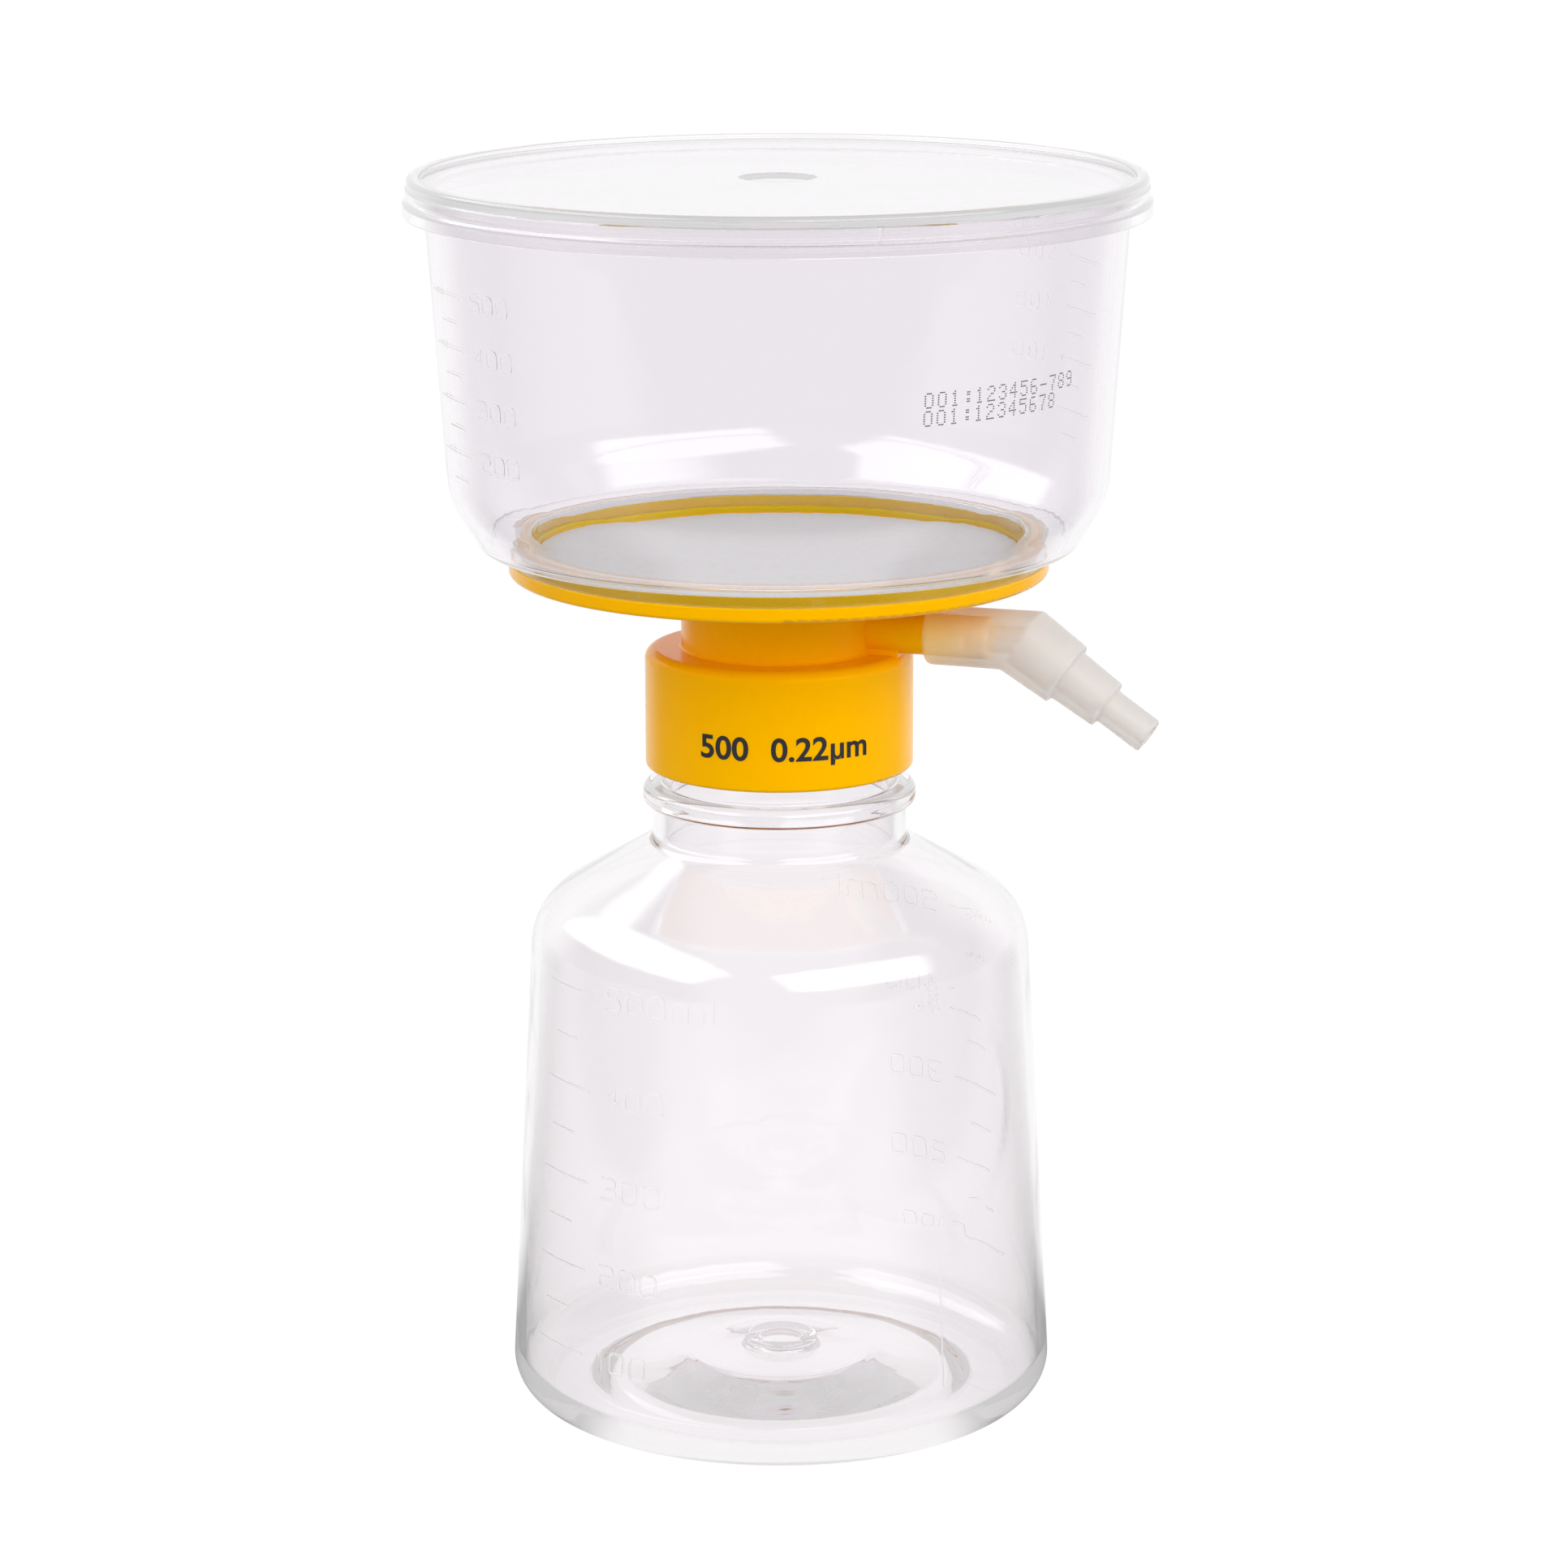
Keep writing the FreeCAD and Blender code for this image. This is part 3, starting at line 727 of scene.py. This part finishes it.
# ---- receiver bottle
bottleLook = {
    "wallFoot": 48.7,  # outside radius, wall line carried down to the table
    "wallTop": 43.9,
    "wallHeight": 89.8,
    "wall": 1.7,
    "heel": 11.2,
    "shoulder": 12.2,
    "slope": 30.5,  # degrees
    "base": 2.2,
    "standing": 34.0,  # inner edge of the ring that it stands on
    "hollow": (30.5, 2.8, 5.2),  # radius, rise at its edge and at the middle
    "gate": (4.3, 2.0),
    "neck": 22.4,
    "neckWall": 2.3,
    "bead": 24.1,
    "beadHeight": 3.4,
    "finish": 20.8,
    "finishHeight": 20.8,
    "bore": 19.2,
    "threadCrest": 21.8,
    "threadStart": 5.6,  # above the bead
    "threadPitch": 4.0,
    "threadTurns": 2,
    "threadHalfWidths": (0.95, 0.3),  # at its root and at its crest
    "threadSink": 0.3,  # how deep it is rooted
    "clear": 0.02,  # keeps faces that touch apart
    "longMark": (206.4, 223.3),  # degrees from +X
    "shortMark": (209.6, 218.2),
    "figureStart": 227.8,
    "figureHeight": 3.75,
    "figureWidth": 3.05,
    "figurePitch": 1.49,
    "strokeRadius": 0.29,
    "strokeFlat": 0.55,  # height of a stroke for its width
    "panelAngle": 305.0,  # shallow round panel
    "panelHeight": 60.5,
    "panelRadius": 20.0,
    "panelDepth": 0.22,
    "panelEdge": 2.4,  # width of its soft rim
    "seamAngle": 306.0,  # parting line of the mould
    "seamHeights": (13, 38),
    "seamRadius": 0.18,
}


def bottleWall(z):
    look = bottleLook
    return look["wallFoot"] - (look["wallFoot"] - look["wallTop"]) * z / look["wallHeight"]


def fillLevels(firstMl, lastMl, stepMl):
    # height of the surface at each marked volume, with a number at each hundred
    levels = []
    z, filled, marked, step = bottleLook["base"], 0.0, firstMl, 0.05
    while marked <= lastMl:
        filled += math.pi * (bottleWall(z) - bottleLook["wall"]) ** 2 * step / 1000
        z += step
        if filled >= marked:
            unit = "ml" if marked == lastMl else ""
            levels.append((z, str(marked) + unit if marked % 100 == 0 else ""))
            marked += stepMl
    return levels


def sinkPanel(bottle):
    # the wall falls back evenly inside a circle, with a soft rim
    look = bottleLook
    group = bottle.vertex_groups.new(name="panel")
    for vertex in bottle.data.vertices:
        place = vertex.co / mm
        if abs(Vector(place[:2]).length - bottleWall(place.z)) > 0.05:
            continue
        turned = math.degrees(math.atan2(place.y, place.x)) % 360 - look["panelAngle"]
        across = math.radians(turned) * bottleWall(place.z)
        away = math.hypot(across, place.z - look["panelHeight"])
        weight = min(1, max(0, (look["panelRadius"] - away) / look["panelEdge"] + 0.5))
        if weight:
            group.add([vertex.index], weight * weight * (3 - 2 * weight), "REPLACE")
    sink = bottle.modifiers.new("sink", "DISPLACE")
    sink.vertex_group = "panel"
    sink.mid_level = 0
    sink.strength = -look["panelDepth"] * mm
    makeActive(bottle)
    bpy.ops.object.modifier_apply(modifier=sink.name)


def makeThread(startZ):
    # a ridge that climbs round the neck
    look = bottleLook
    root, crest = look["finish"] - look["threadSink"], look["threadCrest"]
    foot, top = look["threadHalfWidths"]
    corners = [(root, -foot), (crest, -top), (crest, top), (root, foot)]
    points = [Vector((x, 0, startZ + z)) * mm for x, z in corners]
    drawPath(points + points[:1])
    bpy.ops.mesh.select_all(action="SELECT")
    bpy.ops.mesh.remove_doubles(threshold=1e-6)
    bpy.ops.object.mode_set(mode="OBJECT")
    thread = bpy.context.object
    bpy.ops.object.transform_apply(location=True)
    screw = thread.modifiers.new("screw", "SCREW")
    screw.angle = math.tau * look["threadTurns"]
    screw.screw_offset = look["threadPitch"] * look["threadTurns"] * mm
    screw.steps = screw.render_steps = 96 * look["threadTurns"]
    bpy.ops.object.modifier_apply(modifier=screw.name)
    bpy.ops.object.mode_set(mode="EDIT")
    bpy.ops.mesh.select_all(action="SELECT")
    bpy.ops.mesh.fill_holes(sides=0)
    return finishMesh("thread")


def makeBottle():
    look = bottleLook
    low, high = heights("receiver_bottle")
    foot, rim = low + look["clear"], high - look["clear"]
    bead = high - look["finishHeight"]
    underBead = bead - look["beadHeight"]
    rise = math.tan(math.radians(look["slope"]))
    neckFoot = look["wallHeight"] + (look["wallTop"] - look["neck"]) * rise
    slopeWall = look["wall"] / math.cos(math.radians(look["slope"]))
    inNeck, inTop = look["neck"] - look["neckWall"], look["wallTop"] - look["wall"]
    inShoulder = look["wallHeight"] - slopeWall + look["wall"] * rise
    edge, edgeRise, hollowRise = look["hollow"]
    gate, gateDepth = look["gate"]
    floor = look["base"]
    corners = [
        (0, hollowRise + gateDepth, 0),
        (gate, hollowRise + gateDepth, 0.8),
        (gate, hollowRise, 0.8),
        (edge, edgeRise, 12.0),
        (look["standing"], foot, 4.0),
        (look["wallFoot"], foot, look["heel"]),
        (look["wallTop"], look["wallHeight"], look["shoulder"]),
        (look["neck"], neckFoot, 2.0),
        (look["neck"], underBead, 0.3),
        (look["bead"], underBead, 1.5),
        (look["bead"], bead, 1.5),
        (look["finish"], bead, 0.5),
        (look["finish"], rim, 0.5),
        (look["bore"], rim, 0.5),
        (look["bore"], bead, 1.5),
        (inNeck, underBead, 1.5),
        (inNeck, inShoulder + (inTop - inNeck) * rise, 3.7),
        (inTop, inShoulder, 10.5),
        (look["wallFoot"] - look["wall"] - 0.1, floor, 9.5),
        (look["standing"] - 1, floor, 20.0),
        (edge / 2, hollowRise + floor - 0.4, 20.0),
        (gate + floor, hollowRise + floor, 1.0),
        (gate + floor, hollowRise + gateDepth + floor, 1.2),
        (0, hollowRise + gateDepth + floor, 0),
    ]
    bottle = turnPiece("bottle", splitRuns(roundPath(corners, arcStep=4), 9.0, 1.8))
    sinkPanel(bottle)
    levels = fillLevels(100, 500, 50)  # ml
    marks = marksOnWall(levels, look, bottleWall)
    raiseStrokes(bottle, marks, look["strokeRadius"], look["strokeFlat"], bottleWall)
    first, last = look["seamHeights"]
    line = [point(bottleWall(z), look["seamAngle"], z) for z in range(first, last)]
    raiseStrokes(bottle, [[(line, False)]], look["seamRadius"], 0.5, bottleWall)
    combine(bottle, makeThread(bead + look["threadStart"]), "UNION")
    smoothAgain(bottle, 28)
    return bottle


dress(makeBottle(), bottlePlastic, "bottle", "receiver_bottle")


# ---- funnel
funnelLook = {
    "foot": 57.45,  # outside radius where the wall begins, and its height above the seam
    "footHeight": 11.4,
    "top": 61.05,
    "wall": 1.8,
    "rim": 62.45,
    "rimHeight": 1.7,
    "ring": 43.36,
    "land": 1.1,  # levels above the seam
    "under": 2.75,
    "groove": 2.95,
    "floor": 4.2,
    "tongue": (44.4, 45.6),  # groove over the tongue of the base
    "skirt": 46.9,
    "corner": 52.2,
    "bend": 16.0,
    "clear": 0.02,  # keeps faces that touch apart
    "longMark": (192.7, 207.1),
    "shortMark": (198.0, 205.2),
    "firstMark": 17.17,  # 150 ml, above the seam
    "markPitch": 4.53,
    "figureStart": 211.2,
    "figureHeight": 2.9,
    "figureWidth": 2.9,
    "figurePitch": 1.38,
    "strokeRadius": 0.36,
    "strokeFlat": 0.26,
    "slot": (194, 16),  # gap in the skirt: where it begins and its sweep
    "nibs": (239.0, 278.0),  # short bars on the skirt
    "nibReach": 1.2,  # degrees to each side
    "nibHeight": 0.9,
}
seam, rimTop = heights("funnel")


def funnelWall(z):
    look = funnelLook
    foot = seam + look["footHeight"]
    return look["foot"] + (look["top"] - look["foot"]) * (z - foot) / (rimTop - foot)


def makeFunnel():
    look = funnelLook
    levels = [seam + look[name] for name in ("land", "under", "groove", "floor")]
    land, under, groove, floor = levels
    grooveIn, grooveOut = look["tongue"]
    underRim = rimTop - look["rimHeight"]
    foot = seam + look["footHeight"]
    corners = [
        (look["ring"], land + look["clear"], 0),
        (grooveIn, land + look["clear"], 0),
        (grooveIn, groove, 0),
        (grooveOut, groove, 0),
        (grooveOut, seam + look["clear"], 0),
        (look["skirt"], seam + look["clear"], 0.2),
        (look["skirt"], under, 0.5),
        (look["corner"], under, 1.5),
        (look["foot"], foot, look["bend"]),
        (funnelWall(underRim), underRim, 0.5),
        (look["rim"], underRim, 0.3),
        (look["rim"], rimTop - look["clear"], 0.3),
        (look["top"] - look["wall"], rimTop - look["clear"], 0.5),
        (look["foot"] - look["wall"], foot + 0.5, look["bend"] - look["wall"]),
        (look["corner"] - 1.2, floor, 1.5),
        (look["ring"], floor, 0.3),
    ]
    funnel = turnPiece("funnelBowl", splitRuns(roundPath(corners, arcStep=2), 5.0, 3.0), 288)
    levels = []
    for marked in range(150, 501, 50):  # ml
        z = seam + look["firstMark"] + (marked - 150) / 50 * look["markPitch"]
        levels.append((z, str(marked) if marked % 100 == 0 else ""))
    marks = marksOnWall(levels, look, funnelWall)
    raiseStrokes(funnel, marks, look["strokeRadius"], look["strokeFlat"], funnelWall)
    nibs = []
    for angle in look["nibs"]:
        turns = [angle + look["nibReach"] * side for side in (-1, 0, 1)]
        spots = [point(look["skirt"], turn, seam + look["nibHeight"]) for turn in turns]
        nibs.append((spots, False))
    raiseStrokes(funnel, [nibs], 0.25, 0.6, lambda z: look["skirt"])
    slotIn, slotOut = grooveOut - 0.1, look["skirt"] + 1
    slotCorners = [(slotIn, seam - 1), (slotOut, seam - 1), (slotOut, under), (slotIn, under)]
    combine(funnel, turnWedge("slot", slotCorners, *look["slot"]), "DIFFERENCE")
    smoothAgain(funnel, 18)
    return funnel


dress(makeFunnel(), funnelPlastic, "filter_head", "funnel")


# ---- lid
lidLook = {
    "hole": 6.65,
    "bore": 62.75,
    "wall": 64.0,
    "lower": 64.48,
    "plate": 1.1,
    "crest": 2.25,  # ridge round the plate: its width and height
    "crestRise": 0.9,
    "ledge": 0.25,
    "step": 2.3,
    "clear": 0.02,
    "gateAngle": 284.8,
    "gateRadii": (0.15, 0.75),
    "gateHeight": 3.0,
}


def makeLid():
    look = lidLook
    low, high = heights("lid")
    high -= look["clear"]
    plate = high - look["crestRise"]
    under = plate - look["plate"] + look["clear"]
    step = low + look["step"]
    crestOut = look["wall"] - look["ledge"]
    corners = [
        (look["hole"], under, 0.15),
        (look["bore"], under, 0.3),
        (look["bore"], step, 0),
        (look["bore"] + 0.5, step - 0.5, 0),
        (look["bore"] + 0.5, low, 0.2),
        (look["lower"], low, 0.3),
        (look["lower"], step, 0.2),
        (look["wall"], step + 0.5, 0.3),
        (look["wall"], plate - look["crestRise"] - look["ledge"], 0),
        (crestOut, plate - look["crestRise"], 0),
        (crestOut, high, 0.9),
        (crestOut - look["crest"], high, 0.5),
        (crestOut - look["crest"], plate, 0.3),
        (look["hole"], plate, 0.15),
    ]
    lid = turnPiece("lidCap", splitRuns(roundPath(corners, arcStep=4), 12.0), 288)
    bpy.ops.object.select_all(action="DESELECT")
    middle = plate - look["crestRise"] - look["gateHeight"] / 2
    bpy.ops.mesh.primitive_cone_add(
        vertices=32,
        radius1=look["gateRadii"][0] * mm,
        radius2=look["gateRadii"][1] * mm,
        depth=look["gateHeight"] * mm,
        location=point(look["wall"], look["gateAngle"], middle),
    )
    gate = bpy.context.object
    bpy.ops.object.transform_apply(location=True)
    combine(lid, gate, "DIFFERENCE")
    smoothAgain(lid)
    return lid


dress(makeLid(), lidPlastic, "lid", "lid")


# ---- hose adapter
adapterLook = {
    "voxel": 0.24,
    "softness": 14,  # smoothing passes, which round its shoulders
    "front": 4.6,  # where the side that faces front begins, from the nozzle's line
    "dimpleAlong": 35.5,  # from the axis, along the nozzle
    "dimpleDrop": 5.0,  # below the adapter's top
    "dimpleSize": 0.9,
    "dimpleDepth": 0.3,
}


def makeAdapter():
    # the CAD shape with its shoulders rounded as moulding leaves them, and a gate dimple in front
    look = adapterLook
    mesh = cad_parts["hose_adapter"].data.copy()
    adapter = bpy.data.objects.new("hoseAdapter", mesh)
    bpy.context.scene.collection.objects.link(adapter)
    makeActive(adapter)
    bpy.ops.object.mode_set(mode="EDIT")
    bpy.ops.mesh.select_all(action="SELECT")
    bpy.ops.mesh.remove_doubles(threshold=1e-6)
    bpy.ops.object.mode_set(mode="OBJECT")
    even = adapter.modifiers.new("even", "REMESH")
    even.voxel_size = look["voxel"] * mm
    bpy.ops.object.modifier_apply(modifier=even.name)
    soften = adapter.modifiers.new("soften", "SMOOTH")
    soften.iterations = look["softness"]
    bpy.ops.object.modifier_apply(modifier=soften.name)
    line = Vector(nozzleLine)
    side = Vector((line.y, -line.x, 0))
    for vertex in adapter.data.vertices:
        place = vertex.co / mm
        if place.dot(side) < look["front"]:
            continue
        drop = adapterTop - place.z
        away = math.hypot(place.dot(line) - look["dimpleAlong"], drop - look["dimpleDrop"])
        depth = look["dimpleDepth"] * math.exp(-((away / look["dimpleSize"]) ** 2))
        vertex.co -= side * depth * mm
    bpy.ops.object.shade_smooth()
    adapter.visible_shadow = False  # light passes its milky wall and reaches the nozzle inside
    adapter.visible_diffuse = False
    return adapter


dress(makeAdapter(), finishes["milkyWithPaintedGlow"], "adapter", "hose_adapter")


# ---- print on the collar
collarPrint = {
    "radius": 23.6,
    "lift": 0.02,
    "base": 5.6,  # above the collar's lower edge
    "height": 4.2,  # of a capital letter
    "bold": 0.022,
    "cuts": 40,  # so that each word bends with the wall
    "words": [
        # text, first and last angle in degrees from +X
        ("500", 235.1, 257.0),
        ("0.22µm", 266.5, 309.6),
    ],
}


def printOnCollar(text, fromAngle, toAngle):
    look = collarPrint
    bpy.ops.object.select_all(action="DESELECT")
    bpy.ops.object.text_add()
    words = bpy.context.object
    words.data.body = text
    words.data.offset = look["bold"]
    words.data.resolution_u = 8
    bpy.ops.object.convert(target="MESH")
    words = bpy.context.object
    bpy.ops.object.mode_set(mode="EDIT")
    bpy.ops.mesh.select_all(action="SELECT")
    bpy.ops.mesh.remove_doubles(threshold=1e-4)
    bpy.ops.object.mode_set(mode="OBJECT")
    across = [vertex.co.x for vertex in words.data.vertices]
    left, right = min(across), max(across)
    bpy.ops.object.mode_set(mode="EDIT")
    for cut in range(1, look["cuts"]):
        bpy.ops.mesh.select_all(action="SELECT")
        place = (left + (right - left) * cut / look["cuts"], 0, 0)
        bpy.ops.mesh.bisect(plane_co=place, plane_no=(1, 0, 0))
    bpy.ops.object.mode_set(mode="OBJECT")
    capital = 0.69 + 2 * look["bold"]
    for vertex in words.data.vertices:
        share = (vertex.co.x - left) / (right - left)
        z = baseFoot + look["base"] + (vertex.co.y + look["bold"]) / capital * look["height"]
        angle = fromAngle + (toAngle - fromAngle) * share
        vertex.co = point(look["radius"] + look["lift"], angle, z)
    return words


def makeCollarPrint():
    words = [printOnCollar(*word) for word in collarPrint["words"]]
    bpy.ops.object.select_all(action="DESELECT")
    for word in words:
        word.select_set(True)
    bpy.context.view_layer.objects.active = words[0]
    bpy.ops.object.join()
    bpy.ops.object.mode_set(mode="EDIT")
    return finishMesh("collarPrint")


dress(makeCollarPrint(), finishes["blackInk"], "filter_head")


# ---- dotted code on the funnel
dotFont = {
    "0": "01110 10001 10001 10001 10001 10001 01110",
    "1": "00100 01100 00100 00100 00100 00100 01110",
    "2": "01110 10001 00001 00110 01000 10000 11111",
    "3": "01110 10001 00001 00110 00001 10001 01110",
    "4": "00010 00110 01010 10010 11111 00010 00010",
    "5": "11111 10000 11110 00001 00001 10001 01110",
    "6": "01110 10000 10000 11110 10001 10001 01110",
    "7": "11111 00001 00010 00010 00100 00100 00100",
    "8": "01110 10001 10001 01110 10001 10001 01110",
    "9": "01110 10001 10001 01111 00001 00001 01110",
    ":": "00000 00110 00110 00000 00110 00110 00000",
    "-": "00000 00000 00000 11111 00000 00000 00000",
}
codePrint = {
    "rows": [
        # text, first angle, height of its lowest dots above the seam
        ("001:123456-789", 293.9, 34.65),
        ("001:12345678", 293.8, 31.65),
    ],
    "figurePitch": 2.41,
    "dotPitch": 0.335,
    "rowPitch": 0.39,
    "climb": 0.018,  # rise along the row
    "dotWidth": 0.36,
    "dotHeight": 0.27,
    "lift": 0.03,
}


def makeCode():
    look = codePrint
    bpy.ops.object.select_all(action="DESELECT")
    bpy.ops.mesh.primitive_circle_add(vertices=10, radius=0.5 * mm, fill_type="NGON")
    dot = bpy.context.object
    dot.scale = (look["dotWidth"], look["dotHeight"], 1)
    bpy.ops.object.transform_apply(scale=True)
    upright = Matrix.Rotation(math.radians(90), 4, "X")
    dots = []
    for text, firstAngle, lowest in look["rows"]:
        for index, figure in enumerate(text):
            for row, line in enumerate(dotFont[figure].split()):
                for column in [column for column, on in enumerate(line) if on == "1"]:
                    along = index * look["figurePitch"] + column * look["dotPitch"]
                    z = seam + lowest + (6 - row) * look["rowPitch"] + along * look["climb"]
                    radius = funnelWall(z) + look["lift"]
                    angle = firstAngle + math.degrees(along / radius)
                    turn = Matrix.Rotation(math.radians(angle + 90), 4, "Z")
                    copy = bpy.data.objects.new("dot", dot.data.copy())
                    place = Matrix.Translation(point(radius, angle, z))
                    copy.matrix_world = place @ turn @ upright
                    bpy.context.scene.collection.objects.link(copy)
                    dots.append(copy)
    bpy.data.objects.remove(dot)
    bpy.ops.object.select_all(action="DESELECT")
    for copy in dots:
        copy.select_set(True)
    bpy.context.view_layer.objects.active = dots[0]
    bpy.ops.object.join()
    code = bpy.context.object
    code.name = "funnelCode"
    bpy.ops.object.transform_apply(location=True, rotation=True, scale=True)
    return code


dress(makeCode(), finishes["greyInk"], "filter_head")


# ---- CAD pieces that keep their shape
for node, finish in (
    ("filter_base", "yellow"),
    ("membrane", "film"),
    ("neck_gasket", "rubber"),
    ("vent_plug", "fibre"),
):
    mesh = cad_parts[node].data
    mesh.materials.clear()
    mesh.materials.append(finishes[finish])

print("all pieces in place")
